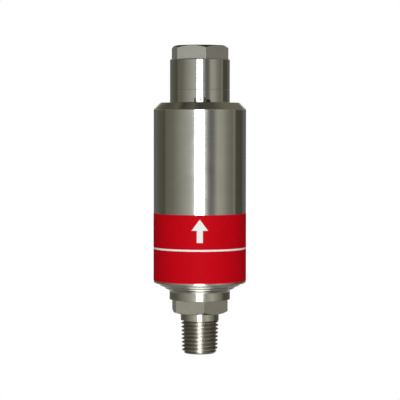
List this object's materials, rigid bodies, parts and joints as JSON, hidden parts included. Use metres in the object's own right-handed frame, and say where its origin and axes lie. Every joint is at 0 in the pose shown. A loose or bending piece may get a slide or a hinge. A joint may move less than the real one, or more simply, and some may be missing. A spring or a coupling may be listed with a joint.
{
  "type": "flame arrestor",
  "caption": "Slim upright in-line flashback arrestor for fuel gas: turned steel housing, female pipe port above, male pipe stub below, sprung check valve and sintered element inside.",
  "frame": {"origin": "centre of the end face of the male inlet thread, at the bottom of the part", "axes": "+Z along the gas passage from inlet to outlet, -Y towards the viewer of the picture, +X to the right"},
  "size_m": [0.0342, 0.0342, 0.1132],
  "materials": {
    "turned_steel": "turned, satin",
    "printed_foil": "semi-gloss print",
    "seal_rubber": "matt",
    "sintered_steel": "porous, matt",
    "gasket_white": "matt",
    "brass": "turned",
    "spring_steel": "drawn wire",
    "solder": "cast"
  },
  "bodies": {
    "casing": {"housing": "turned_steel", "outlet_adapter": "turned_steel", "inlet_adapter": "turned_steel", "label_wrap": "printed_foil", "outlet_o_ring": "seal_rubber", "housing_o_ring": "seal_rubber", "sinter_element": "sintered_steel", "sinter_gasket": "gasket_white", "spacer_sleeve": "turned_steel", "valve_carrier": "brass", "carrier_gasket": "gasket_white", "check_cage": "brass", "check_spring": "spring_steel", "cutoff_guide": "brass", "cutoff_plunger": "brass", "cutoff_seal": "seal_rubber", "cutoff_spring": "spring_steel", "fusible_ring": "solder", "inlet_filter": "sintered_steel", "filter_clip": "spring_steel"},
    "check_valve": {"check_poppet": "brass", "check_seal": "seal_rubber"}
  },
  "joints": [
    {"name": "check_valve_lift", "type": "slide", "parent": "casing", "child": "check_valve", "axis": [0, 0, 1], "range_m": [0, 0.0025], "stiffness_N_per_m": 250, "springref_m": -0.003, "deforming": ["check_spring"]}
  ]
}
